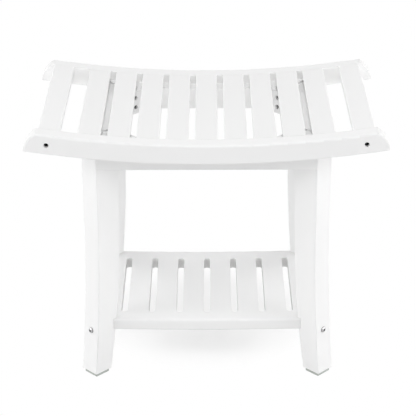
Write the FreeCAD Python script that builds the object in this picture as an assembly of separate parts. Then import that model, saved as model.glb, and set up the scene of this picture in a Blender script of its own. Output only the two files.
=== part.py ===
import FreeCAD, Part
import math
import os

# Bath stool: a curved slatted seat on four diagonal legs, with a slotted shelf below.
# Millimetres, +Z up, +X to the sitter's right, -Y is the front. The origin is on the
# floor, under the middle of the seat.

# Whole stool
seat_length = 584.0
seat_depth = 355.0
seat_centre_height = 436.5
seat_radius = 1785.0

# Seat rails
rail_thickness = 27.5
rail_height = 31.9
rail_end_rake = 21.0
rail_end_bulge = 5.0
rail_top_round = 3.6
rail_bottom_round = 1.0
rail_inner_round = 0.6

# Seat slats. A share of the main slats' pitch is board, the rest is the gap between two.
main_slat_count = 9
slat_width_share = 0.787
slat_thickness = 16.0
slat_top_round = 2.0
end_slat_width = 35.0
end_slat_thickness = 24.0
end_slat_setback = 39.5
hand_gap = 28.5

# Aprons under the slats
apron_thickness = 25.0
side_apron_thickness = 32.0
apron_drop = 53.6
apron_end_setback = 28.1
side_apron_inset = 12.5
apron_round = 1.0

# Legs, seen square to their broad face: "out" runs along the diagonal, away from the middle
leg_thickness = 36.0
leg_head_depth = 57.0
leg_head_gap = 3.0
leg_waist_depth = 47.0
leg_head_drop = 18.0
leg_waist_drop = 110.5
leg_waist_length = 38.0
leg_outer_bend_height = 280.0
leg_toe_out = 15.8
leg_toe_depth = 35.5
leg_edge_round = 1.5
leg_foot_round = 0.8

# Shelf
shelf_centre_height = 97.0
shelf_thickness = 20.0
shelf_setback = 18.7
shelf_radius = 6000.0
shelf_top_round = 4.2
shelf_bottom_round = 2.0
shelf_slot_count = 7
shelf_slot_width = 11.0
slot_side_margin = 42.9
slot_end_margin = 29.6
slot_edge_round = 1.0

# Foot pads
pad_thickness = 7.0
pad_inset = 3.3
pad_round = 1.2
pad_peg_diameter = 8.0
pad_peg_length = 14.0

# Corner blocks
block_depth = 17.2

# Fasteners
screw_diameter = 4.0
sunk_head_diameter = 7.2
sunk_head_height = 3.4
sunk_head_crown = 1.1
button_head_diameter = 9.6
button_head_height = 3.3
button_head_crown = 2.1
button_head_seat = 0.5
screw_socket_share = 0.42
screw_socket_depth = 2.0
screw_point_length = 4.0
screw_bore_clearance = 0.05
head_bore_clearance = 0.3
head_recess = 0.6
end_screw_recess = 5.0
end_screw_length = 50.0
end_screw_rise = 9.6
end_screw_aside_share = 0.046
end_dowel_diameter = 8.0
end_dowel_length = 30.0
end_dowel_offset = 12.0
slat_screw_length = 36.0
slat_screw_bite = 12.0
rail_screw_length = 40.0
rail_screw_drop = 22.0
rail_screw_aside_share = 0.25
rail_screw_steps = (-3, -1, 1, 3)
block_screw_recess = 5.0
block_screw_length = 56.0
block_screw_spacing = 17.0
block_screw_rise = 2.0
block_screw_offset = 21.0
shelf_screw_length = 70.0
shelf_screw_rise = 5.0
leg_bolt_diameter = 8.0
leg_bolt_past_insert = 4.3
leg_bolt_head_diameter = 13.0
leg_bolt_head_height = 5.0
leg_bolt_socket_share = 0.5
washer_diameter = 18.0
washer_thickness = 1.6
insert_diameter = 12.0
insert_length = 20.0

# Fit clearances, and how far a cutting body runs past what it cuts
dowel_clearance = 0.05
bolt_clearance = 0.25
overrun = 5.0

# Places worked out from the sizes above
apron_bottom_height = seat_centre_height - apron_drop
leg_waist_height = seat_centre_height - leg_waist_drop
leg_inner_bend_height = leg_waist_height - leg_waist_length
axis_height = seat_centre_height + seat_radius
rail_inner = seat_depth / 2 - rail_thickness
apron_inner = rail_inner - apron_thickness
end_slat_place = seat_length / 2 - end_slat_setback
half_pitches = (main_slat_count - 1) / 2
main_slats_end = end_slat_place - end_slat_width / 2 - hand_gap
slat_pitch = main_slats_end / (half_pitches + slat_width_share / 2)
slat_width = slat_pitch * slat_width_share
bearing_radius = math.hypot(seat_radius + slat_thickness, slat_width / 2)
apron_half_length = main_slats_end - apron_end_setback
leg_half_step = leg_thickness / 2 / math.sqrt(2)
leg_face_x = apron_half_length + leg_half_step
leg_face_y = rail_inner - leg_half_step
near_plane = apron_half_length - rail_inner
far_plane = near_plane + 4 * leg_half_step
side_apron_outer = leg_face_x + leg_half_step - side_apron_inset
side_apron_inner = side_apron_outer - side_apron_thickness
head_height = axis_height - math.sqrt(bearing_radius ** 2 - leg_face_x ** 2)
block_mid_height = (apron_bottom_height + axis_height - bearing_radius) / 2
block_face_out = -leg_head_depth - block_depth
shelf_half_depth = rail_inner - shelf_setback
shelf_half_length = shelf_half_depth + far_plane - 2 * leg_half_step

# Heads of screws: diameter, height, and how much of the height is crowned
sunk_head = (sunk_head_diameter, sunk_head_height, sunk_head_crown)
button_head = (button_head_diameter, button_head_height, button_head_crown)

corners = {
    "front_left": (-1, -1),
    "front_right": (1, -1),
    "rear_left": (-1, 1),
    "rear_right": (1, 1),
}


def vec(x, y, z):
    return FreeCAD.Vector(x, y, z)


def polygon_prism(points, z0, z1):
    """An upright prism on a plan outline, given as (x, y) points."""
    wire = Part.makePolygon([vec(x, y, z0) for x, y in points + points[:1]])
    return Part.Face(wire).extrude(vec(0, 0, z1 - z0))


def y_cylinder(radius, centre_height):
    """A cylinder about a Y axis over the middle of the stool, longer than the stool."""
    half = seat_depth / 2 + overrun
    return Part.makeCylinder(radius, 2 * half, vec(0, -half, centre_height), vec(0, 1, 0))


def arc_height(x, radius):
    """Height, at x, of an arc of that radius about the seat's axis."""
    return axis_height - math.sqrt(radius ** 2 - x ** 2)


def turned(shape, place):
    """The shape moved along the seat's curve, from the middle to an arc length."""
    copy = shape.copy()
    copy.rotate(vec(0, 0, axis_height), vec(0, -1, 0), math.degrees(place / seat_radius))
    return copy


def soften(shape, radius, chosen):
    """Rounds the edges that the function chosen picks out."""
    edges = [edge for edge in shape.Edges if chosen(edge)]
    return shape.makeFillet(radius, edges)


def runs_along_y(edge):
    box = edge.BoundBox
    return box.YLength > box.XLength + box.ZLength


def bore(centre, direction, diameter, length):
    return Part.makeCylinder(diameter / 2, length, centre, direction)


def cap_screw(head, head_place, direction, length):
    """A screw with a crowned head and a six-sided socket. It starts at the top of its head."""
    axis = vec(*direction)
    axis.normalize()
    head_diameter, head_height, head_crown = head
    head_radius = head_diameter / 2
    shank_radius = screw_diameter / 2
    outline = [
        (0, 0),
        (head_radius / 2, 0),
        (head_radius, head_crown),
        (head_radius, head_height),
        (shank_radius, head_height),
        (shank_radius, length - screw_point_length),
        (0, length),
    ]
    wire = Part.makePolygon([vec(r, 0, z) for r, z in outline + outline[:1]])
    body = Part.Face(wire).revolve(vec(0, 0, 0), vec(0, 0, 1), 360)
    socket_radius = head_diameter * screw_socket_share / 2
    hexagon = hexagon_points(socket_radius)
    socket = polygon_prism(hexagon, -overrun, screw_socket_depth)
    body = body.cut(socket)
    body.Placement = FreeCAD.Placement(head_place, FreeCAD.Rotation(vec(0, 0, 1), axis))
    return body


def hexagon_points(radius):
    angles = [math.radians(60 * step) for step in range(6)]
    return [(radius * math.cos(angle), radius * math.sin(angle)) for angle in angles]


def screw_bore(head, head_place, direction, length, depth_before):
    """What a screw needs cut: its shank's hole, and a wide hole for the head, open outwards."""
    axis = vec(*direction)
    axis.normalize()
    head_diameter, head_height, head_crown = head
    shank = bore(head_place, axis, screw_diameter + 2 * screw_bore_clearance, length)
    start = head_place - axis * depth_before
    wide = bore(start, axis, head_diameter + 2 * head_bore_clearance, depth_before + head_height)
    return shank.fuse(wide)


def group(shapes):
    return Part.makeCompound(shapes)


# Seat rails

def rail_outline(y):
    """The rail's closed front outline, drawn on the plane at y."""
    tip_x = seat_length / 2
    top_x = tip_x - rail_end_rake
    low = seat_radius + rail_height
    tip_z = arc_height(tip_x, low)
    top_z = arc_height(top_x, seat_radius)
    run_x = top_x - tip_x
    run_z = top_z - tip_z
    run = math.hypot(run_x, run_z)
    bulge_x = (tip_x + top_x) / 2 + rail_end_bulge * run_z / run
    bulge_z = (tip_z + top_z) / 2 - rail_end_bulge * run_x / run
    bottom_mid = vec(0, y, axis_height - low)
    top_mid = vec(0, y, seat_centre_height)
    bottom = Part.Arc(vec(-tip_x, y, tip_z), bottom_mid, vec(tip_x, y, tip_z))
    right = Part.Arc(vec(tip_x, y, tip_z), vec(bulge_x, y, bulge_z), vec(top_x, y, top_z))
    top = Part.Arc(vec(top_x, y, top_z), top_mid, vec(-top_x, y, top_z))
    left = Part.Arc(vec(-top_x, y, top_z), vec(-bulge_x, y, bulge_z), vec(-tip_x, y, tip_z))
    return Part.Wire([arc.toShape() for arc in (bottom, right, top, left)])


def seat_rail(side):
    """side is -1 for the front rail and 1 for the rear one."""
    outer_y = side * seat_depth / 2
    inner_y = side * rail_inner
    start = min(inner_y, outer_y)
    solid = Part.Face(rail_outline(start)).extrude(vec(0, rail_thickness, 0))
    underside = axis_height - seat_radius - rail_height

    def lies_at(edge, y):
        box = edge.BoundBox
        return abs(box.YMin - y) < rail_inner_round and abs(box.YMax - y) < rail_inner_round

    def is_bottom(edge):
        return edge.Length > seat_length / 2 and edge.CenterOfMass.z < underside + rail_height / 2

    solid = soften(solid, rail_top_round, lambda edge: lies_at(edge, outer_y) and not is_bottom(edge))
    solid = soften(solid, rail_inner_round, lambda edge: lies_at(edge, inner_y) and not is_bottom(edge))
    solid = soften(solid, rail_bottom_round, lambda edge: lies_at(edge, outer_y) and is_bottom(edge))
    cuts = []
    for x_side in (-1, 1):
        cuts.append(end_screw_bore(x_side, side))
        cuts.append(end_dowel_bore(x_side, side))
    for x in rail_screw_places():
        place, direction = rail_screw_axis(x, side)
        cuts.append(screw_bore(sunk_head, place, direction, rail_screw_length, overrun))
    return solid.cut(cuts)


# End slats, their screws and their dowels

def end_screw_place():
    """Arc length from the middle to the end slats' screws."""
    return end_slat_place + end_slat_width * end_screw_aside_share


def end_screw_axis(x_side, y_side):
    x = x_side * end_screw_place()
    z = arc_height(seat_length / 2, seat_radius + rail_height) + end_screw_rise
    y = y_side * (seat_depth / 2 - end_screw_recess)
    return vec(x, y, z), (0, -y_side, 0)


def end_screw_bore(x_side, y_side):
    place, direction = end_screw_axis(x_side, y_side)
    return screw_bore(sunk_head, place, direction, end_screw_length, overrun)


def end_dowel_axis(x_side, y_side):
    place, direction = end_screw_axis(x_side, y_side)
    start = y_side * (rail_inner + end_dowel_length / 2)
    return vec(place.x - x_side * end_dowel_offset, start, place.z), direction


def end_dowel_bore(x_side, y_side):
    place, direction = end_dowel_axis(x_side, y_side)
    wide = end_dowel_diameter + 2 * dowel_clearance
    return bore(place, vec(*direction), wide, end_dowel_length)


def board(width, thickness):
    """A board across the seat between the rails, in the middle, with its top at seat level."""
    corner = vec(-width / 2, -rail_inner, seat_centre_height - thickness)
    solid = Part.makeBox(width, 2 * rail_inner, thickness, corner)
    return soften(solid, slat_top_round, runs_along_y)


def end_slat(x_side):
    solid = turned(board(end_slat_width, end_slat_thickness), x_side * end_slat_place)
    cuts = []
    for y_side in (-1, 1):
        cuts.append(end_screw_bore(x_side, y_side))
        cuts.append(end_dowel_bore(x_side, y_side))
    return solid.cut(cuts)


def end_slat_screws():
    solids = []
    for x_side in (-1, 1):
        for y_side in (-1, 1):
            place, direction = end_screw_axis(x_side, y_side)
            solids.append(cap_screw(sunk_head, place, direction, end_screw_length))
    return group(solids)


def end_slat_dowels():
    solids = []
    for x_side in (-1, 1):
        for y_side in (-1, 1):
            place, direction = end_dowel_axis(x_side, y_side)
            solids.append(bore(place, vec(*direction), end_dowel_diameter, end_dowel_length))
    return group(solids)


# Main slats and the screws that hold them from below

def slat_places():
    """Arc lengths from the middle of the seat to the middle of each main slat."""
    return [(step - half_pitches) * slat_pitch for step in range(main_slat_count)]


def slat_screw_starts(place):
    """The heads of a slat's two screws, seen with that slat in the middle of the seat.

    The outermost slats lie on the side aprons, the others on the long aprons."""
    z = seat_centre_height - slat_thickness + slat_screw_bite - slat_screw_length
    if abs(place) < apron_half_length - apron_thickness:
        y = rail_inner - apron_thickness / 2
        return [vec(0, side * y, z) for side in (-1, 1)]
    lean = slat_screw_length * place / seat_radius
    x = math.copysign(side_apron_outer - apron_thickness / 2, place) - place - lean / 2
    y = side_apron_inner - far_plane - slat_width
    return [vec(x, side * y, z) for side in (-1, 1)]


def slat_screw_solids(place):
    up = (0, 0, 1)
    starts = slat_screw_starts(place)
    return [turned(cap_screw(sunk_head, start, up, slat_screw_length), place) for start in starts]


def slat_screw_bores(place):
    up = (0, 0, 1)
    reach = slat_thickness + slat_screw_length
    starts = slat_screw_starts(place)
    bores = [screw_bore(sunk_head, start, up, slat_screw_length, reach) for start in starts]
    return [turned(shape, place) for shape in bores]


def seat_slat(place):
    solid = turned(board(slat_width, slat_thickness), place)
    return solid.cut(slat_screw_bores(place))


def slat_screws():
    solids = []
    for place in slat_places():
        solids.extend(slat_screw_solids(place))
    return group(solids)


# Aprons

def seat_hollow(gap=0):
    """The cylinder that the slats rest on, or one that stays a gap below them."""
    return y_cylinder(bearing_radius + gap, axis_height)


def apron_bar(points):
    """A bar or block on a plan outline, with its long bottom edges eased and a hollowed top."""
    top = seat_centre_height + slat_thickness
    solid = polygon_prism(points, apron_bottom_height, top)

    def long_bottom(edge):
        low = edge.BoundBox.ZMax < apron_bottom_height + apron_round
        return low and edge.Length > 2 * apron_thickness

    return soften(solid, apron_round, long_bottom).cut(seat_hollow())


def long_apron(side):
    outer_x = apron_half_length
    inner_x = apron_half_length - apron_thickness
    points = [
        (-outer_x, side * rail_inner),
        (outer_x, side * rail_inner),
        (inner_x, side * apron_inner),
        (-inner_x, side * apron_inner),
    ]
    cuts = []
    for place in slat_places():
        cuts.extend(slat_screw_bores(place))
    for x in rail_screw_places():
        place, direction = rail_screw_axis(x, side)
        cuts.append(screw_bore(sunk_head, place, direction, rail_screw_length, overrun))
    for signs in corners.values():
        cuts.extend(block_screw_bores(signs))
    return apron_bar(points).cut(cuts)


def side_apron(side):
    points = [
        (side * side_apron_outer, -(side_apron_outer - far_plane)),
        (side * side_apron_outer, side_apron_outer - far_plane),
        (side * side_apron_inner, side_apron_inner - far_plane),
        (side * side_apron_inner, -(side_apron_inner - far_plane)),
    ]
    cuts = slat_screw_bores(side * slat_places()[-1])
    for signs in corners.values():
        cuts.extend(block_screw_bores(signs))
    return apron_bar(points).cut(cuts)


# Screws that hold the rails to the long aprons, from inside

def rail_screw_places():
    """Each lies under a slat, on the inner side of that slat's own screw."""
    aside = slat_width * rail_screw_aside_share
    return [step * slat_pitch - math.copysign(aside, step) for step in rail_screw_steps]


def rail_screw_axis(x, side):
    z = arc_height(x, seat_radius + rail_screw_drop)
    return vec(x, side * (apron_inner + head_recess), z), (0, side, 0)


def rail_screws():
    solids = []
    for side in (-1, 1):
        for x in rail_screw_places():
            place, direction = rail_screw_axis(x, side)
            solids.append(cap_screw(sunk_head, place, direction, rail_screw_length))
    return group(solids)


# Legs

def bend_radius(rise, climb):
    """The radius of an arc that starts upright and ends that far aside and that far along."""
    return (rise ** 2 + climb ** 2) / (2 * abs(rise))


def bend(upright, end):
    """An arc that stands upright at its first point. The points are (out, height)."""
    rise = end[0] - upright[0]
    climb = end[1] - upright[1]
    radius = bend_radius(rise, climb)
    half = math.asin(abs(climb) / radius) / 2
    middle_out = upright[0] + math.copysign(radius * (1 - math.cos(half)), rise)
    middle_z = upright[1] + math.copysign(radius * math.sin(half), climb)
    points = [vec(upright[0], 0, upright[1]), vec(middle_out, 0, middle_z), vec(end[0], 0, end[1])]
    return Part.Arc(*points).toShape()


def leg_profile():
    """The leg's side outline. Its outer face is at out = 0."""
    top = head_height + slat_thickness
    head_foot = apron_bottom_height - leg_head_drop / 2
    head_corner = (-leg_head_depth, head_foot)
    waist_top = (-leg_waist_depth, leg_waist_height)
    waist_foot = (-leg_waist_depth, leg_inner_bend_height)
    outer_bend = (0, leg_outer_bend_height)
    toe_out = (leg_toe_out, pad_thickness)
    toe_in = (leg_toe_out - leg_toe_depth, pad_thickness)

    def line(start, end):
        return Part.makeLine(vec(start[0], 0, start[1]), vec(end[0], 0, end[1]))

    edges = [
        line((-leg_head_depth, top), (0, top)),
        line((0, top), outer_bend),
        bend(outer_bend, toe_out),
        line(toe_out, toe_in),
        bend(waist_foot, toe_in),
        line(waist_foot, waist_top),
        bend(waist_top, head_corner),
        line(head_corner, (-leg_head_depth, top)),
    ]
    return Part.Wire(Part.sortEdges(edges)[0])


def placed_on_leg(shape, signs):
    """Moves a shape from the leg's own frame, out along +X, to one corner of the stool."""
    copy = shape.copy()
    angle = math.degrees(math.atan2(signs[1], signs[0]))
    place = vec(signs[0] * leg_face_x, signs[1] * leg_face_y, 0)
    turn = FreeCAD.Rotation(vec(0, 0, 1), angle)
    copy.Placement = FreeCAD.Placement(place, turn).multiply(copy.Placement)
    return copy


def leg(signs):
    face = Part.Face(leg_profile())
    face.translate(vec(0, -leg_thickness / 2, 0))
    solid = face.extrude(vec(0, leg_thickness, 0))

    def long_edge(edge):
        box = edge.BoundBox
        return box.ZLength > box.XLength + box.YLength

    def foot_edge(edge):
        return edge.BoundBox.ZMax < pad_thickness + leg_foot_round

    solid = soften(solid, leg_edge_round, long_edge)
    solid = soften(solid, leg_foot_round, foot_edge)
    solid = placed_on_leg(solid, signs).cut(seat_hollow(leg_head_gap))
    cuts = [
        shelf_blank(),
        placed_on_leg(pad_peg_hole(), signs),
        placed_on_leg(shelf_screw_bore(), signs),
        placed_on_leg(insert_hole(), signs),
    ]
    return solid.cut(cuts)


# Foot pads

def pad_centre():
    return leg_toe_out - leg_toe_depth / 2


def pad_peg_hole():
    wide = pad_peg_diameter + 2 * dowel_clearance
    start = vec(pad_centre(), 0, pad_thickness)
    return bore(start, vec(0, 0, 1), wide, pad_peg_length + dowel_clearance)


def foot_pad(signs):
    long = leg_toe_depth - 2 * pad_inset
    wide = leg_thickness - 2 * pad_inset
    corner = vec(pad_centre() - long / 2, -wide / 2, 0)
    plate = Part.makeBox(long, wide, pad_thickness, corner)

    def foot_edge(edge):
        box = edge.BoundBox
        return box.ZMax < pad_round or box.ZLength > pad_thickness / 2

    plate = soften(plate, pad_round, foot_edge)
    peg_start = vec(pad_centre(), 0, pad_thickness / 2)
    peg = bore(peg_start, vec(0, 0, 1), pad_peg_diameter, pad_thickness / 2 + pad_peg_length)
    return placed_on_leg(plate.fuse(peg).removeSplitter(), signs)


# Shelf

def shelf_blank():
    """The shelf before its slots and rounded edges: its corners fit between the legs' sides."""
    slant = 2 * leg_half_step
    quarter = [
        (shelf_half_length - slant, shelf_half_depth),
        (shelf_half_length, shelf_half_depth - slant),
    ]
    points = quarter + [(x, -y) for x, y in reversed(quarter)]
    points += [(-x, -y) for x, y in quarter]
    points += [(-x, y) for x, y in reversed(quarter)]
    plan = polygon_prism(points, 0, seat_centre_height)
    axis = shelf_centre_height + shelf_radius
    outer = y_cylinder(shelf_radius + shelf_thickness, axis)
    inner = y_cylinder(shelf_radius, axis)
    return plan.common(outer).cut(inner)


def shelf_slot(x):
    radius = shelf_slot_width / 2
    straight = shelf_half_depth - slot_end_margin - radius
    tall = shelf_thickness + 2 * overrun
    bottom = shelf_centre_height - shelf_thickness - overrun
    box = Part.makeBox(shelf_slot_width, 2 * straight, tall, vec(x - radius, -straight, bottom))
    ends = [bore(vec(x, y, bottom), vec(0, 0, 1), shelf_slot_width, tall) for y in (-straight, straight)]
    return box.fuse(ends)


def shelf():
    solid = shelf_blank()

    middle = shelf_centre_height - shelf_thickness / 2

    def long_edge(edge, upper):
        box = edge.BoundBox
        long = box.XLength > seat_length / 3 or box.YLength > seat_depth / 3
        return long and (edge.CenterOfMass.z > middle) == upper

    solid = soften(solid, shelf_top_round, lambda edge: long_edge(edge, True))
    solid = soften(solid, shelf_bottom_round, lambda edge: long_edge(edge, False))
    half = (shelf_slot_count - 1) / 2
    pitch = (shelf_half_length - slot_side_margin) / half
    solid = solid.cut([shelf_slot((step - half) * pitch) for step in range(shelf_slot_count)])

    def slot_rim(edge):
        box = edge.BoundBox
        far_x = max(abs(box.XMin), abs(box.XMax))
        far_y = max(abs(box.YMin), abs(box.YMax))
        inside_x = far_x < shelf_half_length - slot_side_margin / 2
        inside_y = far_y < shelf_half_depth - slot_end_margin / 2
        return inside_x and inside_y and box.ZLength < shelf_thickness / 2

    solid = soften(solid, slot_edge_round, slot_rim)
    bores = [placed_on_leg(shelf_screw_bore(), signs) for signs in corners.values()]
    return solid.cut(bores)


def shelf_screw_height():
    """A little above the shelf's lower face, where its corner meets the leg."""
    corner_x = shelf_half_length - leg_half_step
    axis = shelf_centre_height + shelf_radius
    low = axis - math.sqrt(shelf_radius ** 2 - corner_x ** 2) - shelf_thickness
    return low + shelf_screw_rise


def leg_outer_at(height):
    """How far out the leg's outer face stands at a height below its bend."""
    radius = bend_radius(leg_toe_out, leg_outer_bend_height - pad_thickness)
    fall = leg_outer_bend_height - height
    return radius - math.sqrt(radius ** 2 - fall ** 2)


def shelf_screw_start():
    """The head stands proud of the leg, on a shallow flat seat cut into its outer face."""
    height = shelf_screw_height()
    return vec(leg_outer_at(height) + button_head_height - button_head_seat, 0, height)


def shelf_screw_bore():
    return screw_bore(button_head, shelf_screw_start(), (-1, 0, 0), shelf_screw_length, overrun)


def shelf_screws():
    screw = cap_screw(button_head, shelf_screw_start(), (-1, 0, 0), shelf_screw_length)
    return group([placed_on_leg(screw, signs) for signs in corners.values()])


# Corner blocks, their screws and the leg bolts

def block_points(signs):
    """The block's plan: it fills the corner between the aprons, round the leg's head."""
    head = leg_head_depth / math.sqrt(2)
    inner_x = apron_half_length - head
    inner_y = rail_inner - head
    reach = leg_face_x + leg_face_y + block_face_out * math.sqrt(2)
    points = [
        (reach - apron_inner, apron_inner),
        (apron_inner + near_plane, apron_inner),
        (inner_x, inner_y),
        (inner_x + 2 * leg_half_step, inner_y - 2 * leg_half_step),
        (side_apron_inner, side_apron_inner - far_plane),
        (side_apron_inner, reach - side_apron_inner),
    ]
    return [(signs[0] * x, signs[1] * y) for x, y in points]


def block_screw_starts():
    """The screws' heads in the leg's own frame: two columns, one on each side of the leg."""
    out = block_face_out + block_screw_recess
    middle = block_mid_height + block_screw_rise
    heights = [middle + step * block_screw_spacing / 2 for step in (-1, 1)]
    return [vec(out, side * block_screw_offset, z) for side in (-1, 1) for z in heights]


def block_screw_bores(signs):
    out = (1, 0, 0)
    starts = block_screw_starts()
    bores = [screw_bore(sunk_head, start, out, block_screw_length, overrun) for start in starts]
    return [placed_on_leg(shape, signs) for shape in bores]


def block_screws():
    solids = []
    for signs in corners.values():
        for start in block_screw_starts():
            screw = cap_screw(sunk_head, start, (1, 0, 0), block_screw_length)
            solids.append(placed_on_leg(screw, signs))
    return group(solids)


def leg_bolt_start():
    """Where the bolt head's underside meets its washer."""
    return vec(block_face_out - washer_thickness, 0, block_mid_height)


def leg_bolt_length():
    """Through its washer, the block and the insert, and a little past it."""
    return washer_thickness + block_depth + insert_length + leg_bolt_past_insert


def leg_bolt():
    start = leg_bolt_start()
    shank = bore(start, vec(1, 0, 0), leg_bolt_diameter, leg_bolt_length())
    head_start = start - vec(leg_bolt_head_height, 0, 0)
    head = bore(head_start, vec(1, 0, 0), leg_bolt_head_diameter, leg_bolt_head_height)
    socket_radius = leg_bolt_head_diameter / 2 * leg_bolt_socket_share
    socket_depth = leg_bolt_head_height * leg_bolt_socket_share
    socket = polygon_prism(hexagon_points(socket_radius), -overrun, socket_depth)
    turn = FreeCAD.Rotation(vec(0, 0, 1), vec(1, 0, 0))
    socket.Placement = FreeCAD.Placement(head_start, turn)
    return head.fuse(shank).removeSplitter().cut(socket)


def washer():
    start = leg_bolt_start()
    disc = bore(start, vec(1, 0, 0), washer_diameter, washer_thickness)
    hole = bore(start, vec(1, 0, 0), leg_bolt_diameter + 2 * bolt_clearance, washer_thickness)
    return disc.cut(hole)


def insert_start():
    return vec(-leg_head_depth, 0, block_mid_height)


def threaded_insert():
    start = insert_start()
    body = bore(start, vec(1, 0, 0), insert_diameter, insert_length)
    hole = bore(start, vec(1, 0, 0), leg_bolt_diameter + 2 * screw_bore_clearance, insert_length)
    return body.cut(hole)


def insert_hole():
    """The leg's hole for the insert, with room past it for the bolt's end."""
    wide = bore(insert_start(), vec(1, 0, 0), insert_diameter + 2 * dowel_clearance, insert_length)
    reach = insert_length + leg_bolt_past_insert + leg_bolt_diameter / 2
    deep = bore(insert_start(), vec(1, 0, 0), leg_bolt_diameter + 2 * bolt_clearance, reach)
    return wide.fuse(deep)


def bolt_passage():
    start = leg_bolt_start()
    return bore(start, vec(1, 0, 0), leg_bolt_diameter + 2 * bolt_clearance, leg_bolt_length())


def corner_block(signs):
    solid = apron_bar(block_points(signs))
    cuts = block_screw_bores(signs) + [placed_on_leg(bolt_passage(), signs)]
    return solid.cut(cuts)


def at_each_corner(shape):
    return group([placed_on_leg(shape, signs) for signs in corners.values()])


def build():
    """Every piece of the stool, by node name."""
    parts = {
        "front_seat_rail": seat_rail(-1),
        "rear_seat_rail": seat_rail(1),
        "left_end_slat": end_slat(-1),
        "right_end_slat": end_slat(1),
        "front_apron": long_apron(-1),
        "rear_apron": long_apron(1),
        "left_side_apron": side_apron(-1),
        "right_side_apron": side_apron(1),
        "shelf": shelf(),
        "end_slat_screws": end_slat_screws(),
        "end_slat_dowels": end_slat_dowels(),
        "slat_screws": slat_screws(),
        "rail_screws": rail_screws(),
        "corner_block_screws": block_screws(),
        "shelf_screws": shelf_screws(),
        "leg_bolts": at_each_corner(leg_bolt()),
        "leg_bolt_washers": at_each_corner(washer()),
        "leg_inserts": at_each_corner(threaded_insert()),
    }
    for number, place in enumerate(slat_places(), start=1):
        parts["seat_slat_%d" % number] = seat_slat(place)
    for name, signs in corners.items():
        parts[name + "_leg"] = leg(signs)
        parts[name + "_foot_pad"] = foot_pad(signs)
        parts[name + "_corner_block"] = corner_block(signs)
    return parts


os.makedirs("parts", exist_ok=True)
for node, shape in build().items():
    shape.exportStep("parts/%s.step" % node)
    box = shape.BoundBox
    print("%-28s solids %2d  valid %s  z %.1f to %.1f"
          % (node, len(shape.Solids), shape.isValid(), box.ZMin, box.ZMax))
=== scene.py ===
# %% [markdown]
# # A white bath stool
# The stool is made of white plastic boards: a curved seat of slats between two rails, four
# diagonal legs, a slotted shelf and fifty screws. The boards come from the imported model, so
# their shapes and places are already right. This lesson gives them light, finishes and a
# camera, and makes again, with Geometry Nodes, the pieces that repeat: the slats and the screws.

# %% Load the model
import math

import bmesh
import bpy
from mathutils import Matrix, Vector


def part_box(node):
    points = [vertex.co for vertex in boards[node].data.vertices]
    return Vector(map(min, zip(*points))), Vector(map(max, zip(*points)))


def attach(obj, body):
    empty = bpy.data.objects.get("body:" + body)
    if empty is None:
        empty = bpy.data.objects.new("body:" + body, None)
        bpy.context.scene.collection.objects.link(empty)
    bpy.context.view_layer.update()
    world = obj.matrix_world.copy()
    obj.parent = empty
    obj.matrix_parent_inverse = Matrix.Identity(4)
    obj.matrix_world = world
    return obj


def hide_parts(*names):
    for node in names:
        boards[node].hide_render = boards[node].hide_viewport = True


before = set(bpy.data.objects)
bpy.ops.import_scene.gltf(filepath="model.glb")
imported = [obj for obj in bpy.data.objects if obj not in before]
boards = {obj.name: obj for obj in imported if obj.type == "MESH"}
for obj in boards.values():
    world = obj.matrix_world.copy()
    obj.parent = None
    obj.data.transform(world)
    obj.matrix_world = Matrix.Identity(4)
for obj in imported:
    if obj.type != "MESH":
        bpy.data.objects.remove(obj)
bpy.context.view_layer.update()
scene = bpy.context.scene

# %% [markdown]
# ## Camera
# A product picture of a stool is taken from the front, a little above the seat, with a long
# lens from some way off, so that the legs look upright. A long lens keeps the far rail almost
# as wide as the near one. The camera here looks down by 25 degrees from 2.4 m in front. It
# leans by a sixth of a degree, as the one that took the real picture did.

# %% Camera
CAMERA_PLACE = (0.0020, -2.4303, 1.3736)
LOOKING_DOWN = 24.89
LEANING = -0.172
LENS_LENGTH = 133.38

camera = bpy.data.cameras.new("camera")
camera.lens = LENS_LENGTH
viewer = bpy.data.objects.new("camera", camera)
viewer.location = CAMERA_PLACE
down = Matrix.Rotation(math.radians(90 - LOOKING_DOWN), 3, "X")
lean = Matrix.Rotation(math.radians(LEANING), 3, "Z")
viewer.rotation_euler = (down @ lean).to_euler()
scene.collection.objects.link(viewer)
scene.camera = viewer
scene.view_settings.view_transform = "Standard"
print("Lens:", LENS_LENGTH, "mm, at", round(viewer.location.length, 2), "m from the floor's middle")

# %% [markdown]
# ## Helpers for node trees
# Shader trees and Geometry Nodes trees are built from the same few moves: add a node, set its
# options, then link or set its inputs. One small function does all of that. The others add what
# is needed most often: a sum, a cloud of noise, a ramp, or a group with named inputs and outputs.

# %% Helpers for node trees
FLOAT = "NodeSocketFloat"
VECTOR = "NodeSocketVector"


def add(tree, kind, inputs=None, **options):
    """Adds a node. Inputs are sockets to link or values to set, by name or by number."""
    node = tree.nodes.new(kind)
    for option, value in options.items():
        setattr(node, option, value)
    for place, value in (inputs or {}).items():
        if isinstance(value, bpy.types.NodeSocket):
            tree.links.new(value, node.inputs[place])
        else:
            node.inputs[place].default_value = value
    return node


def calculate(tree, operation, *values):
    """A Math node's result. Multiply-add takes three values, the others two or one."""
    return add(tree, "ShaderNodeMath", dict(enumerate(values)), operation=operation).outputs[0]


def calculate_vector(tree, operation, *values, output="Vector"):
    """A Vector Math node's result. A distance or a dot product is at the output Value."""
    node = add(tree, "ShaderNodeVectorMath", dict(enumerate(values)), operation=operation)
    return node.outputs[output]


def place_on_object(tree):
    """Where the shaded point is, in metres from the object's origin."""
    return add(tree, "ShaderNodeTexCoord").outputs["Object"]


def noise(tree, place, scale, detail, **more):
    """A soft random cloud with this many swells to the metre."""
    inputs = {"Vector": place, "Scale": scale, "Detail": detail, **more}
    return add(tree, "ShaderNodeTexNoise", inputs).outputs[0]


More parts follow.
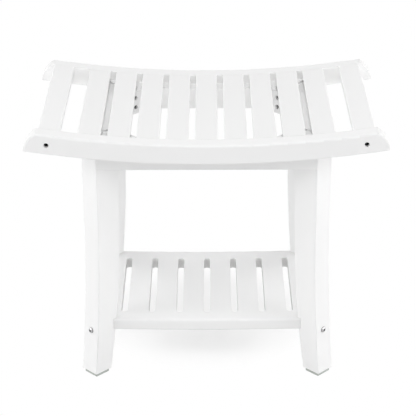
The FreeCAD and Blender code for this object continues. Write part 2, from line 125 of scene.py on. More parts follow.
def ramp(tree, value, start, full):
    """0 before the start, 1 past the full mark, and straight between the two."""
    return add(tree, "ShaderNodeMapRange", {0: value, 1: start, 2: full}).outputs[0]


def new_group(name, kind, inputs, outputs):
    """A node group. Inputs are (name, socket type, default) and outputs (name, socket type)."""
    tree = bpy.data.node_groups.new(name, kind)
    for label, socket_type, default in inputs:
        socket = tree.interface.new_socket(label, in_out="INPUT", socket_type=socket_type)
        if default is not None:
            socket.default_value = default
    for label, socket_type in outputs:
        tree.interface.new_socket(label, in_out="OUTPUT", socket_type=socket_type)
    return tree, tree.nodes.new("NodeGroupInput").outputs, tree.nodes.new("NodeGroupOutput")


# %% [markdown]
# ## Light
# The real picture has almost no hard shadows: large white sheets stand on both sides, behind
# and overhead, and one hangs high in front. Big area lamps do the same. The high one in front
# is what leaves the back of the shelf in shade. All are set so that a board of value 0.9
# renders near 0.9, not as pure white, or its edges would be lost. The world adds a little, and
# light may bounce eight times, because white boards pass on most of what they get.

# %% Light
AMBIENT = 0.20
BOUNCES = 8
MIDDLE = (0, 0, 0.25)
LAMPS = (  # name, place, width in metres, power in watts
    ("left_sheet", (-2.2, -0.9, 0.9), 1.8, 24),
    ("right_sheet", (2.2, -0.9, 0.9), 1.8, 25),
    ("front_sheet", (0, -2.0, 2.6), 1.6, 24),
    ("left_rear_sheet", (-2.0, 1.2, 1.2), 1.8, 17),
    ("right_rear_sheet", (2.0, 1.2, 1.2), 1.8, 17),
    ("top_sheet", (0, -0.2, 2.6), 1.8, 14))

for name, place, size, power in LAMPS:
    lamp = bpy.data.lights.new(name, "AREA")
    lamp.shape = "DISK"
    lamp.size = size
    lamp.energy = power
    holder = bpy.data.objects.new(name, lamp)
    holder.location = place
    holder.rotation_euler = (Vector(MIDDLE) - Vector(place)).to_track_quat("-Z", "Y").to_euler()
    scene.collection.objects.link(holder)

world = bpy.data.worlds.new("white_room")
world.use_nodes = True
scene.world = world
scene.cycles.diffuse_bounces = BOUNCES
tree = world.node_tree
tree.nodes.clear()
path = add(tree, "ShaderNodeLightPath").outputs
seen = calculate(tree, "MAXIMUM", path["Is Camera Ray"], path["Is Glossy Ray"])
seen = calculate(tree, "MAXIMUM", seen, path["Is Transmission Ray"])
strength = calculate(tree, "MULTIPLY_ADD", seen, 1 - AMBIENT, AMBIENT)
sky = add(tree, "ShaderNodeBackground", {"Color": (1, 1, 1, 1), "Strength": strength})
add(tree, "ShaderNodeOutputWorld", {"Surface": sky.outputs[0]})
print("Lamps:", [lamp.name for lamp in bpy.data.lights])

# %% [markdown]
# ## Floor
# The floor is a wide sheet that runs out of the picture. It looks pure white to the camera, yet
# it still takes the stool's soft shadow, because near the stool only a part of what the camera
# sees is the sheet's own glow: the rest is light that falls on it. That zone lies a little
# behind the stool's middle. Further off the glow takes over, as on a lit backdrop. Every other
# ray meets plain pale paper. From below the sheet can't be seen at all, so that the stool's
# underside can be looked at too.

# %% Floor
FLOOR_HALF = 6.0
FLOOR_PAPER = 0.85
FLOOR_SEEN = 0.52
FLOOR_GLOW = 0.52
SHADOW_CENTRE = (0, 0.065, 0)
BACKDROP_STARTS = 0.12
BACKDROP_FULL = 0.20

mesh = bpy.data.meshes.new("floor")
corners = [(x * FLOOR_HALF, y * FLOOR_HALF, 0) for x, y in ((-1, -1), (1, -1), (1, 1), (-1, 1))]
mesh.from_pydata(corners, [], [(0, 1, 2, 3)])
floor = bpy.data.objects.new("floor", mesh)
scene.collection.objects.link(floor)

material = bpy.data.materials.new("floor_paper")
material.use_nodes = True
tree = material.node_tree
tree.nodes.clear()
seen = add(tree, "ShaderNodeLightPath").outputs["Is Camera Ray"]
away = calculate_vector(tree, "DISTANCE", place_on_object(tree), SHADOW_CENTRE, output="Value")
far = ramp(tree, away, BACKDROP_STARTS, BACKDROP_FULL)
seen_tone = calculate(tree, "MULTIPLY_ADD", far, -FLOOR_SEEN, FLOOR_SEEN)
seen_glow = calculate(tree, "MULTIPLY_ADD", far, 1 - FLOOR_GLOW, FLOOR_GLOW)
change = calculate(tree, "SUBTRACT", seen_tone, FLOOR_PAPER)
tone = calculate(tree, "MULTIPLY_ADD", seen, change, FLOOR_PAPER)
colour = add(tree, "ShaderNodeCombineColor", {0: tone, 1: tone, 2: tone}).outputs[0]
paper = add(tree, "ShaderNodeBsdfDiffuse", {"Color": colour}).outputs[0]
glow = add(tree, "ShaderNodeEmission", {"Strength": calculate(tree, "MULTIPLY", seen, seen_glow)})
both = add(tree, "ShaderNodeAddShader", {0: paper, 1: glow.outputs[0]}).outputs[0]
under = add(tree, "ShaderNodeNewGeometry").outputs["Backfacing"]
clear = add(tree, "ShaderNodeBsdfTransparent").outputs[0]
sheet = add(tree, "ShaderNodeMixShader", {0: under, 1: both, 2: clear}).outputs[0]
add(tree, "ShaderNodeOutputMaterial", {"Surface": sheet})
mesh.materials.append(material)
print("Floor:", 2 * FLOOR_HALF, "m wide")

# %% [markdown]
# ## Shared effects
# Every board is cut from the same extruded plastic, so one group of nodes makes its surface:
# long fine drag lines from the die, a slow drift of gloss, and a fine pebble that stops the
# highlight from looking like glass. The drag lines run along each board, so the group takes a
# stretch for each axis: a small number makes the pattern long that way.

# %% Board surface
BROAD_SCALE = 34
DRIFT_SCALE = 9


def weighted(tree, first, share, second):
    """A mix of two values, in which the first has this share."""
    more = calculate(tree, "MULTIPLY", first, share)
    return calculate(tree, "ADD", more, calculate(tree, "MULTIPLY", second, 1 - share))


def make_board_surface():
    tree, given, result = new_group(
        "board_surface", "ShaderNodeTree",
        [("Stretch", VECTOR, (1, 1, 1)), ("Line Scale", FLOAT, 260), ("Pebble Scale", FLOAT, 900)],
        [("Tone", FLOAT), ("Gloss", FLOAT), ("Height", FLOAT)])
    place = place_on_object(tree)
    along = calculate_vector(tree, "MULTIPLY", place, given["Stretch"])
    lines = noise(tree, along, given["Line Scale"], 4, Roughness=0.6)
    broad = noise(tree, along, BROAD_SCALE, 2)
    drift = noise(tree, place, DRIFT_SCALE, 3)
    pebble = noise(tree, place, given["Pebble Scale"], 2)
    tree.links.new(weighted(tree, broad, 0.6, drift), result.inputs["Tone"])
    tree.links.new(weighted(tree, drift, 0.7, lines), result.inputs["Gloss"])
    tree.links.new(weighted(tree, lines, 0.7, pebble), result.inputs["Height"])
    return tree


board_surface = make_board_surface()
print("Group:", board_surface.name, "with", len(board_surface.nodes), "nodes")

# %% [markdown]
# Edges and corners tell how a thing was used, and where shade falls. A cut plastic edge is eased
# and a little more polished than the face, and dust gathers in the corners, where painted shade
# is laid too. Both can be found from the shape: the Bevel node says where the surface is about to
# turn, and Ambient Occlusion says where it is closed in.

# %% Edges and corners
EDGE_GAIN = 6
WEAR_SCALE = 60


def make_edges():
    tree, given, result = new_group(
        "edges_and_corners", "ShaderNodeTree",
        [("Edge Radius", FLOAT, 0.0012), ("Corner Reach", FLOAT, 0.012)],
        [("Edge", FLOAT), ("Corner", FLOAT), ("Eased Normal", VECTOR)])
    eased = add(tree, "ShaderNodeBevel", {"Radius": given["Edge Radius"]}, samples=4).outputs[0]
    true = add(tree, "ShaderNodeNewGeometry").outputs["Normal"]
    turned = calculate(tree, "SUBTRACT", 1,
                       calculate_vector(tree, "DOT_PRODUCT", eased, true, output="Value"))
    broken = noise(tree, place_on_object(tree), WEAR_SCALE, 3)
    edge = calculate(tree, "MULTIPLY", turned, calculate(tree, "MULTIPLY", broken, EDGE_GAIN))
    closed = add(tree, "ShaderNodeAmbientOcclusion", {"Distance": given["Corner Reach"]}, samples=4)
    corner = calculate(tree, "SUBTRACT", 1, closed.outputs["AO"])
    tree.links.new(calculate(tree, "MINIMUM", edge, 1), result.inputs["Edge"])
    tree.links.new(corner, result.inputs["Corner"])
    tree.links.new(eased, result.inputs["Eased Normal"])
    return tree


edges_and_corners = make_edges()
print("Group:", edges_and_corners.name, "with", len(edges_and_corners.nodes), "nodes")

# %% [markdown]
# Every finish below starts from a new material and ends with a fine relief. In between it
# places the groups, and lays one colour over another with a mask.

# %% Parts of a finish
def new_material(name):
    """A material, its tree, and the inputs of its surface."""
    material = bpy.data.materials.new(name)
    material.use_nodes = True
    tree = material.node_tree
    return material, tree, tree.nodes["Principled BSDF"].inputs


def place_group(tree, group, **values):
    """The outputs of a shared group. An underscore in an input's name stands for a space."""
    node = add(tree, "ShaderNodeGroup", node_tree=group)
    for name, value in values.items():
        node.inputs[name.replace("_", " ")].default_value = value
    return node.outputs


def blend_colours(tree, share, first, second):
    """The first colour, with this share of the second laid over it."""
    inputs = {"Factor": share, 6: first, 7: second}
    return add(tree, "ShaderNodeMix", inputs, data_type="RGBA").outputs[2]


def add_relief(tree, skin, height, strength, distance, **more):
    """A relief too fine to be modelled, which only the light sees."""
    inputs = {"Height": height, "Strength": strength, "Distance": distance, **more}
    tree.links.new(add(tree, "ShaderNodeBump", inputs).outputs[0], skin["Normal"])


print("Groups to place:", [group.name for group in bpy.data.node_groups])

# %% [markdown]
# ## Finish of the boards
# The plastic is white with a soft sheen, like a bathroom fitting. A pure white has nowhere to
# go in the light, so the value stays near 0.9 and drifts by a hundredth or two. There is one
# finish for each direction a board can run: across, front to back, and upright. The seat's
# slats have one of their own, painted a touch greyer as painted shade. Faces between the end
# slats that look to the stool's middle, such as the inner sides of the rails and aprons, are
# painted a touch whiter as painted light, and the side aprons are painted lighter all over. The
# saw left the rails' ends dull, and they are painted greyer than the drawn faces as painted
# shade. Corners take dust and painted shade, and the bores of the corner blocks and the shelf's
# slots are painted dark as painted shade.

# %% Finish of the boards
BOARD_COLOUR = (0.908, 0.908, 0.908, 1)
BOARD_DEEP = (0.872, 0.872, 0.870, 1)
# Painted light on faces that look inward
BOARD_PAINTED_LIGHT = (0.952, 0.952, 0.948, 1)
# Painted shade on the ends of boards that run across
BOARD_END_SHADE = (0.828, 0.828, 0.824, 1)
# Dust and painted shade in corners
DUST_AND_SHADE_COLOUR = (0.660, 0.655, 0.640, 1)
# Painted shade in bores and sockets
PAINTED_SHADE_BLACK = (0.020, 0.020, 0.020, 1)
TONE_DRIFT = 0.5
BOARD_ROUGH = 0.36
GLOSS_DRIFT = 0.22
EDGE_POLISH = 0.10
SAWN_ROUGHER = 0.25
BOARD_IOR = 1.49
BOARD_RELIEF = 0.10, 0.0003
END_SLATS = 0.250
BORE_REACH = 0.006
# Where each mask starts, and where it is full
INWARD_MASK = -0.2, -0.5
SAWN_MASK = 0.20, 0.45
BORE_MASK = 0.50, 0.75


def aside(tree, vector):
    """How far a place or a direction goes to the left or the right."""
    return calculate(tree, "ABSOLUTE", add(tree, "ShaderNodeSeparateXYZ", {0: vector}).outputs[0])


def looks_inward(tree):
    """1 where a face between the end slats looks to the stool's middle, 0 elsewhere."""
    place = place_on_object(tree)
    between = calculate(tree, "LESS_THAN", aside(tree, place), END_SLATS)
    level = calculate_vector(tree, "MULTIPLY", place, (1, 1, 0))
    away = calculate_vector(tree, "NORMALIZE", level)
    normal = add(tree, "ShaderNodeNewGeometry").outputs["True Normal"]
    facing = calculate_vector(tree, "DOT_PRODUCT", normal, away, output="Value")
    return calculate(tree, "MULTIPLY", ramp(tree, facing, *INWARD_MASK), between)


def sawn_ends(tree):
    """1 on the ends of a board that runs across, 0 on its sides."""
    normal = add(tree, "ShaderNodeNewGeometry").outputs["True Normal"]
    return ramp(tree, aside(tree, normal), *SAWN_MASK)


def board_finish(name, stretch, painted_shade_shift=0.0, dust_and_shade=0.05, painted_light_inward=False, sawn_shaded_ends=False, shaded_bores=False):
    """Plastic with its streaks drawn out one way, its painted light and shade, and dust in its
    corners.
    """
    material, tree, skin = new_material(name)
    surface = place_group(tree, board_surface, Stretch=stretch)
    edges = place_group(tree, edges_and_corners)
    # A shift above zero paints the whole board darker as painted shade, one below zero paints it
    # lighter as painted light.
    deep = calculate(tree, "MULTIPLY_ADD", surface["Tone"], TONE_DRIFT, painted_shade_shift)
    colour = blend_colours(tree, deep, BOARD_COLOUR, BOARD_DEEP)
    rough = calculate(tree, "MULTIPLY_ADD", surface["Gloss"], GLOSS_DRIFT, BOARD_ROUGH)
    rough = calculate(tree, "MULTIPLY_ADD", edges["Edge"], -EDGE_POLISH, rough)
    # Faces between the end slats that look inward are painted whiter: painted light.
    if painted_light_inward:
        colour = blend_colours(tree, looks_inward(tree), colour, BOARD_PAINTED_LIGHT)
    # The ends are rougher from the saw, and painted greyer: painted shade.
    if sawn_shaded_ends:
        ends = sawn_ends(tree)
        colour = blend_colours(tree, ends, colour, BOARD_END_SHADE)
        rough = calculate(tree, "MULTIPLY_ADD", ends, SAWN_ROUGHER, rough)
    # Corners are painted darker: dust, and painted shade.
    dust_and_shade_share = calculate(tree, "MULTIPLY", edges["Corner"], dust_and_shade)
    colour = blend_colours(tree, dust_and_shade_share, colour, DUST_AND_SHADE_COLOUR)
    # Bores are painted black: painted shade.
    if shaded_bores:
        closed = place_group(tree, edges_and_corners, Corner_Reach=BORE_REACH)["Corner"]
        colour = blend_colours(tree, ramp(tree, closed, *BORE_MASK), colour, PAINTED_SHADE_BLACK)
    tree.links.new(colour, skin["Base Color"])
    tree.links.new(rough, skin["Roughness"])
    add_relief(tree, skin, surface["Height"], *BOARD_RELIEF, Normal=edges["Eased Normal"])
    skin["IOR"].default_value = BOARD_IOR
    return material


ACROSS = (0.03, 1, 1)
FRONT_TO_BACK = (1, 0.03, 1)
UPRIGHT = (1, 1, 0.03)

# Inward faces get painted light, and the ends painted shade.
across = board_finish("board_across", ACROSS, painted_light_inward=True, sawn_shaded_ends=True)
front_to_back = board_finish("board_front_to_back", FRONT_TO_BACK)
upright = board_finish("board_upright", UPRIGHT)
# The slats are painted a touch darker: painted shade.
shaded_slats = board_finish("board_shaded_slats", FRONT_TO_BACK, painted_shade_shift=0.45)
# The side aprons are painted lighter: painted light.
lit_side_aprons = board_finish("board_lit_side_aprons", FRONT_TO_BACK, painted_shade_shift=-0.2, painted_light_inward=True)
# The slots are painted dark: painted shade.
slotted = board_finish("board_slotted", FRONT_TO_BACK, dust_and_shade=0.8)
# The bores are painted black: painted shade.
drilled = board_finish("board_drilled", UPRIGHT, shaded_bores=True)
finishes = (across, front_to_back, upright, shaded_slats, lit_side_aprons, slotted, drilled)
print("Board finishes:", [material.name for material in finishes])

# %% [markdown]
# The boards keep the meshes of the model, so dressing one means giving it another material.
# The nine seat slats get theirs later, from the recipe that makes them.

# %% Dress the boards
CORNERS = ("front_left", "front_right", "rear_left", "rear_right")


def dress(material, *nodes):
    """Gives the model's own pieces a material."""
    for node in nodes:
        mesh = boards[node].data
        mesh.materials.clear()
        mesh.materials.append(material)


dress(across, "front_seat_rail", "rear_seat_rail", "front_apron", "rear_apron")
dress(slotted, "shelf")
dress(front_to_back, "left_end_slat", "right_end_slat")
dress(lit_side_aprons, "left_side_apron", "right_side_apron")
dress(upright, *[corner + "_leg" for corner in CORNERS])
dress(drilled, *[corner + "_corner_block" for corner in CORNERS])
print("Finish of the legs:", boards["front_left_leg"].data.materials[0].name)

# %% [markdown]
# ## Finish of the metal, rubber and wood
# The screws in the rails' ends and in the corner blocks are blackened steel, a little rubbed on
# their rims. The button heads on the legs and the screws underneath are bare stainless steel,
# and the button heads' sockets are painted black: painted shade. The feet are firm grey-green
# rubber with a fine stipple. Brass inserts and beech dowels sit inside the boards, and get their
# own finish for when they are taken out.

# %% Metals
RIM_RADIUS = 0.0003
RIM_REACH = 0.002
METAL_ROUGH_DRIFT = 0.25
METAL_RELIEF = 0.15, 0.0001
SOCKET_REACH = 0.003
SOCKET_MASK = 0.16, 0.34


def metal_finish(name, colour, rubbed, metallic, rough, grain, painted_socket_shade=False):
    """Turned metal with a fine grain, its rims rubbed to a second colour, and, when asked, its
    socket painted black as painted shade.
    """
    material, tree, skin = new_material(name)
    fine = noise(tree, place_on_object(tree), grain, 4)
    edges = place_group(tree, edges_and_corners, Edge_Radius=RIM_RADIUS, Corner_Reach=RIM_REACH)
    worn = calculate(tree, "MULTIPLY", edges["Edge"], fine)
    colour = blend_colours(tree, worn, colour, rubbed)
    if painted_socket_shade:
        # The socket is painted black: painted shade.
        closed = place_group(tree, edges_and_corners, Corner_Reach=SOCKET_REACH)["Corner"]
        colour = blend_colours(tree, ramp(tree, closed, *SOCKET_MASK), colour, PAINTED_SHADE_BLACK)
    tree.links.new(colour, skin["Base Color"])
    roughness = calculate(tree, "MULTIPLY_ADD", fine, METAL_ROUGH_DRIFT, rough)
    tree.links.new(roughness, skin["Roughness"])
    add_relief(tree, skin, fine, *METAL_RELIEF)
    skin["Metallic"].default_value = metallic
    return material


black_steel = metal_finish(
    "black_steel", colour=(0.006, 0.006, 0.007, 1), rubbed=(0.05, 0.05, 0.05, 1),
    metallic=0.3, rough=0.50, grain=2400)
bare_steel = metal_finish(
    "bare_steel", colour=(0.55, 0.55, 0.56, 1), rubbed=(0.72, 0.72, 0.72, 1),
    metallic=1.0, rough=0.22, grain=3000)
# Its sockets are painted black: painted shade.
head_steel = metal_finish(
    "head_steel", colour=(0.55, 0.55, 0.555, 1), rubbed=(0.70, 0.70, 0.70, 1),
    metallic=1.0, rough=0.16, grain=3000, painted_socket_shade=True)
brass = metal_finish(
    "brass", colour=(0.62, 0.43, 0.17, 1), rubbed=(0.80, 0.62, 0.32, 1),
    metallic=1.0, rough=0.24, grain=2600)
dress(bare_steel, "leg_bolts", "leg_bolt_washers")
dress(brass, "leg_inserts")
print("Metals:", [metal.name for metal in (black_steel, bare_steel, head_steel, brass)])

# %% [markdown]
# Rubber is matt, so its stipple shows only as a soft break in the light. Beech has a straight
# grain, drawn out along the dowel, which is a noise stretched in one direction.

# %% Rubber feet and wooden dowels
RUBBER_DARK = (0.470, 0.500, 0.470, 1)
RUBBER_LIGHT = (0.530, 0.560, 0.530, 1)
RUBBER_RUBBED = (0.62, 0.64, 0.61, 1)
RUBBER_CLOUD_SCALE = 70
RUBBER_STIPPLE_SCALE = 1300
RUBBER_ROUGH = 0.66
RUBBER_EDGE = 0.0008
RUBBER_RELIEF = 0.5, 0.0002
BEECH_DARK = (0.52, 0.34, 0.20, 1)
BEECH_LIGHT = (0.66, 0.47, 0.30, 1)
BEECH_STRETCH = (1, 0.05, 1)
BEECH_GRAIN_SCALE = 900
BEECH_WAVER = 0.6
BEECH_ROUGH = 0.55
BEECH_RELIEF = 0.3, 0.0002
MATT_DRIFT = 0.2


def rubber_finish():
    material, tree, skin = new_material("foot_rubber")
    place = place_on_object(tree)
    stipple = add(tree, "ShaderNodeTexVoronoi", {"Vector": place, "Scale": RUBBER_STIPPLE_SCALE})
    stipple = stipple.outputs["Distance"]
    edges = place_group(tree, edges_and_corners, Edge_Radius=RUBBER_EDGE)
    cloud = noise(tree, place, RUBBER_CLOUD_SCALE, 4)
    colour = blend_colours(tree, cloud, RUBBER_DARK, RUBBER_LIGHT)
    colour = blend_colours(tree, edges["Edge"], colour, RUBBER_RUBBED)
    tree.links.new(colour, skin["Base Color"])
    rough = calculate(tree, "MULTIPLY_ADD", stipple, MATT_DRIFT, RUBBER_ROUGH)
    tree.links.new(rough, skin["Roughness"])
    add_relief(tree, skin, stipple, *RUBBER_RELIEF)
    return material


def beech_finish():
    material, tree, skin = new_material("beech")
    along = calculate_vector(tree, "MULTIPLY", place_on_object(tree), BEECH_STRETCH)
    grain = noise(tree, along, BEECH_GRAIN_SCALE, 5, Distortion=BEECH_WAVER)
    tree.links.new(blend_colours(tree, grain, BEECH_DARK, BEECH_LIGHT), skin["Base Color"])
    rough = calculate(tree, "MULTIPLY_ADD", grain, MATT_DRIFT, BEECH_ROUGH)
    tree.links.new(rough, skin["Roughness"])
    add_relief(tree, skin, grain, *BEECH_RELIEF)
    return material


dress(rubber_finish(), *[corner + "_foot_pad" for corner in CORNERS])
dress(beech_finish(), "end_slat_dowels")
print("Materials:", len(bpy.data.materials))

# %% [markdown]
# ## Pieces made by Geometry Nodes
# A tree is only a recipe. To use it, an object gets a Nodes modifier, its inputs are set by
# their identifiers, and the result is taken out as a plain mesh, so that nothing is left to be
# worked out later. The object stays at the origin, and its place is in its mesh.

# %% Turn a recipe into a mesh
SMOOTH_BELOW = 35


def make_piece(name, tree, values, start=None):
    """An object that holds the plain mesh which the tree makes from these values."""
    piece = bpy.data.objects.new(name, start or bpy.data.meshes.new(name))
    scene.collection.objects.link(piece)
    recipe = piece.modifiers.new("recipe", "NODES")
    recipe.node_group = tree
    for item in tree.interface.items_tree:
        if item.item_type == "SOCKET" and item.in_out == "INPUT" and item.name in values:
            recipe[item.identifier] = values[item.name]
    ready = piece.evaluated_get(bpy.context.evaluated_depsgraph_get())
    made = bpy.data.meshes.new_from_object(ready)
    piece.modifiers.remove(recipe)
    piece.data = made
    made.name = name
    made.shade_smooth()
    made.set_sharp_from_angle(angle=math.radians(SMOOTH_BELOW))
    print(name, "has", len(made.vertices), "points and", len(made.polygons), "faces")
    return piece


def finish_recipe(tree, points, shape, turn, material, output):
    """Puts the shape on every point, makes the copies real, and gives them their material."""
    copies = add(tree, "GeometryNodeInstanceOnPoints",
                 {"Points": points, "Instance": shape, "Rotation": turn}).outputs[0]
    real = add(tree, "GeometryNodeRealizeInstances", {"Geometry": copies}).outputs[0]
    dressed = add(tree, "GeometryNodeSetMaterial", {"Geometry": real, "Material": material})
    tree.links.new(dressed.outputs[0], output)


# %% [markdown]
# ## Seat slats
# Nine equal slats lie side by side on one long arc. Each slat is a bar with eased edges, and
# its place follows from its number: an angle on the arc gives both where it lies and how it
# tilts. So one bar is drawn once, as a rounded rectangle carried along a line, and stands on
# nine points.

# %% Recipe for the seat slats
SLAT_COUNT = 9
SLAT_PITCH = 0.0470013
SEAT_RADIUS = 1.785
SLAT_EDGE_ROUND = 0.002
EDGE_STEPS = 5


def draw_slat(tree, given):
    """One bar, its top face at height zero and its length from front to back."""
    outline = add(tree, "GeometryNodeCurvePrimitiveQuadrilateral",
                  {"Width": given["Width"], "Height": given["Thickness"]}, mode="RECTANGLE")
    eased = {"Curve": outline.outputs[0], "Radius": given["Edge Round"], "Count": EDGE_STEPS}
    eased = add(tree, "GeometryNodeFilletCurve", eased, mode="POLY")
    half = calculate(tree, "MULTIPLY", given["Length"], 0.5)
    back = calculate(tree, "MULTIPLY", half, -1)
    start = add(tree, "ShaderNodeCombineXYZ", {1: back}).outputs[0]
    end = add(tree, "ShaderNodeCombineXYZ", {1: half}).outputs[0]
    line = add(tree, "GeometryNodeCurvePrimitiveLine", {"Start": start, "End": end}).outputs[0]
    bar = add(tree, "GeometryNodeCurveToMesh",
              {"Curve": line, "Profile Curve": eased.outputs[0], "Fill Caps": True}).outputs[0]
    below = calculate(tree, "MULTIPLY", given["Thickness"], -0.5)
    drop = add(tree, "ShaderNodeCombineXYZ", {2: below}).outputs[0]
    return add(tree, "GeometryNodeTransform", {"Geometry": bar, "Translation": drop}).outputs[0]


def make_slat_recipe():
    tree, given, result = new_group(
        "seat_slats", "GeometryNodeTree",
        [("Count", "NodeSocketInt", SLAT_COUNT), ("Pitch", FLOAT, SLAT_PITCH),
         ("Seat Radius", FLOAT, SEAT_RADIUS), ("Seat Height", FLOAT, 0.4365),
         ("Width", FLOAT, 0.037), ("Thickness", FLOAT, 0.016), ("Length", FLOAT, 0.3),
         ("Edge Round", FLOAT, SLAT_EDGE_ROUND), ("Finish", "NodeSocketMaterial", None)],
        [("Slats", "NodeSocketGeometry")])
    count, radius = given["Count"], given["Seat Radius"]
    number = add(tree, "GeometryNodeInputIndex").outputs[0]
    last = calculate(tree, "SUBTRACT", count, 1)
    step = calculate(tree, "MULTIPLY_ADD", last, -0.5, number)
    angle = calculate(tree, "DIVIDE", calculate(tree, "MULTIPLY", step, given["Pitch"]), radius)
    x = calculate(tree, "MULTIPLY", calculate(tree, "SINE", angle), radius)
    rise = calculate(tree, "SUBTRACT", 1, calculate(tree, "COSINE", angle))
    z = calculate(tree, "MULTIPLY_ADD", rise, radius, given["Seat Height"])
    place = add(tree, "ShaderNodeCombineXYZ", {0: x, 2: z}).outputs[0]
    points = add(tree, "GeometryNodePoints", {"Count": count, "Position": place}).outputs[0]
    tilt = add(tree, "ShaderNodeCombineXYZ", {1: calculate(tree, "MULTIPLY", angle, -1)})
    turn = add(tree, "FunctionNodeEulerToRotation", {0: tilt.outputs[0]}).outputs[0]
    bar = draw_slat(tree, given)
    finish_recipe(tree, points, bar, turn, given["Finish"], result.inputs["Slats"])
    return tree


slat_recipe = make_slat_recipe()
print("Recipe:", slat_recipe.name, "with", len(slat_recipe.nodes), "nodes")

# %% [markdown]
# The middle slat lies level, so its box in the model gives the height of the seat and the
# slat's three sizes. The last slat's box is then a test of the pitch.

# %% Seat slats
low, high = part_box("seat_slat_5")
seat_slats = make_piece("seat_slats", slat_recipe, {
    "Count": SLAT_COUNT, "Pitch": SLAT_PITCH, "Seat Radius": SEAT_RADIUS, "Seat Height": high.z,
    "Width": high.x - low.x, "Thickness": high.z - low.z, "Length": high.y - low.y,
    "Edge Round": SLAT_EDGE_ROUND, "Finish": shaded_slats})
slat_nodes = ["seat_slat_%d" % (number + 1) for number in range(SLAT_COUNT)]
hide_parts(*slat_nodes)
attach(seat_slats, "root")
made_end = max(vertex.co.x for vertex in seat_slats.data.vertices)
model_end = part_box(slat_nodes[-1])[1].x
print("The last slat ends within", round(1000 * (made_end - model_end), 3), "mm of the model's")

# %% [markdown]
# ## Screws
# A socket screw is turned on a lathe: every cut is a cone or a cylinder about one axis. So the
# recipe stacks open cones, one for each step of the outline, and joins them where their rims
# meet. A six-sided bar then cuts the socket. The screws stand where the model has them: the
# pointed end of each solid and its middle give the axis.

# %% Where the screws are
TOUCHING = 1e-6


def islands(node):
    """The separate solids of a node, each as a list of its points."""
    solid = bmesh.new()
    solid.from_mesh(boards[node].data)
    bmesh.ops.remove_doubles(solid, verts=solid.verts, dist=TOUCHING)
    reached = set()
    found = []
    for first in solid.verts:
        if first in reached:
            continue
        reached.add(first)
        front = [first]
        island = []
        while front:
            point = front.pop()
            island.append(point.co.copy())
            for edge in point.link_edges:
                other = edge.other_vert(point)
                if other not in reached:
                    reached.add(other)
                    front.append(other)
        found.append(island)
    solid.free()
    return found


def screw_places(node):
    """The top of the head, the direction and the length of each screw in a node of screws."""
    places = []
    for island in islands(node):
        middle = sum(island, Vector()) / len(island)
        tip = max(island, key=lambda p: (p - middle).length)
        axis = (tip - middle).normalized()
        length = max((tip - p).dot(axis) for p in island)
        places.append((tip - axis * length, axis, length))
    return places


def screw_points(name, places):
    """A mesh of bare points, each with the axis of its screw."""
    mesh = bpy.data.meshes.new(name)
    mesh.from_pydata([place for place, axis, length in places], [], [])
    directions = mesh.attributes.new("axis", "FLOAT_VECTOR", "POINT")
    values = [value for place, axis, length in places for value in axis]
    directions.data.foreach_set("vector", values)
    return mesh


print("Screws in the rails' ends:", len(screw_places("end_slat_screws")))

# %% [markdown]
# The outline starts in the middle of the head's top and goes down the screw: the crown's
# curve in steps, the rim, the underside of the head, the shank and the point. Each pair is a
# radius and a distance from the top. The crown's pairs are shares of its radius and its depth.

# %% Recipe for a socket screw
SCREW_SIDES = 28
KEY_SIDES = 6
CROWN_SHARES = ((0.50, 0.0), (0.80, 0.30), (0.95, 0.68), (1.0, 1.0))
RIM_SHARE = 0.94
UNDERSIDE_SHARE = 0.95


def turn_screw(tree, given):
    """One screw, the top of its head at the origin, pointing up the Z axis."""
    head, high, crown, shank, length = (
        given[name] for name in ("Head Radius", "Head Height", "Crown", "Shank Radius", "Length"))

    def share(value, part):
        return calculate(tree, "MULTIPLY", value, part)

    outline = [(0.0, 0.0)]
    outline += [(share(head, wide), share(crown, deep)) for wide, deep in CROWN_SHARES]
    outline += [
        (head, share(high, RIM_SHARE)), (share(head, UNDERSIDE_SHARE), high), (shank, high),
        (shank, calculate(tree, "SUBTRACT", length, given["Point Length"])), (0.0, length)]
    joined = add(tree, "GeometryNodeJoinGeometry")
    for (near, start), (far, stop) in zip(outline, outline[1:]):
        step = {"Vertices": SCREW_SIDES, "Radius Bottom": near, "Radius Top": far,
                "Depth": calculate(tree, "SUBTRACT", stop, start)}
        cone = add(tree, "GeometryNodeMeshCone", step, fill_type="NONE").outputs[0]
        along = add(tree, "ShaderNodeCombineXYZ", {2: start}).outputs[0]
        moved = add(tree, "GeometryNodeTransform", {"Geometry": cone, "Translation": along})
        tree.links.new(moved.outputs[0], joined.inputs[0])
    turned = add(tree, "GeometryNodeMergeByDistance",
                 {"Geometry": joined.outputs[0], "Distance": TOUCHING}).outputs[0]
    depth = share(given["Socket Depth"], 2)
    key = add(tree, "GeometryNodeMeshCylinder",
              {"Vertices": KEY_SIDES, "Radius": given["Socket Radius"], "Depth": depth}).outputs[0]
    return add(tree, "GeometryNodeMeshBoolean", {"Mesh 1": turned, "Mesh 2": key},
               operation="DIFFERENCE").outputs[0]


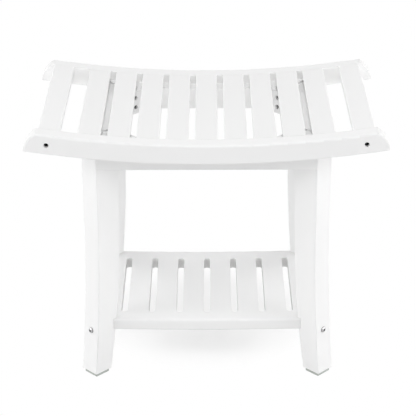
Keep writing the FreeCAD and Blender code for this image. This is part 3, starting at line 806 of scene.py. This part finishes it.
def make_screw_recipe():
    tree, given, result = new_group(
        "socket_screws", "GeometryNodeTree",
        [("Places", "NodeSocketGeometry", None), ("Length", FLOAT, 0.05),
         ("Head Radius", FLOAT, 0.0038), ("Head Height", FLOAT, 0.0034), ("Crown", FLOAT, 0.0011),
         ("Shank Radius", FLOAT, 0.002), ("Point Length", FLOAT, 0.004),
         ("Socket Radius", FLOAT, 0.0016), ("Socket Depth", FLOAT, 0.002),
         ("Finish", "NodeSocketMaterial", None)],
        [("Screws", "NodeSocketGeometry")])
    axis = add(tree, "GeometryNodeInputNamedAttribute", {"Name": "axis"}, data_type="FLOAT_VECTOR")
    turn = add(tree, "FunctionNodeAlignRotationToVector", {"Vector": axis.outputs[0]}, axis="Z")
    screw = turn_screw(tree, given)
    finish_recipe(tree, given["Places"], screw, turn.outputs[0], given["Finish"],
                  result.inputs["Screws"])
    return tree


screw_recipe = make_screw_recipe()
print("Recipe:", screw_recipe.name, "with", len(screw_recipe.nodes), "nodes")

# %% [markdown]
# Two kinds of head are used. The sunk one hides in a bore of its own size, and the button head
# stands proud of the leg. The screws of one node are alike, so the first gives their length.

# %% Screws with sunk heads, and leg screws with button heads
SUNK_HEAD = {"Head Radius": 0.0036, "Head Height": 0.0034, "Crown": 0.0011,
             "Socket Radius": 0.0015}
BUTTON_HEAD = {"Head Radius": 0.0048, "Head Height": 0.0033, "Crown": 0.0021,
               "Socket Radius": 0.0020}

for node, head, finish, slot in (
        ("end_slat_screws", SUNK_HEAD, black_steel, "black_screw"),
        ("corner_block_screws", SUNK_HEAD, black_steel, "black_screw"),
        ("shelf_screws", BUTTON_HEAD, head_steel, "stainless_steel"),
        ("slat_screws", SUNK_HEAD, bare_steel, "stainless_steel"),
        ("rail_screws", SUNK_HEAD, bare_steel, "stainless_steel")):
    places = screw_places(node)
    sizes = dict(head, Length=places[0][2], Finish=finish)
    start = screw_points(node + "_places", places)
    screws = make_piece("turned_" + node, screw_recipe, sizes, start)
    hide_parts(node)
    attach(screws, "root")
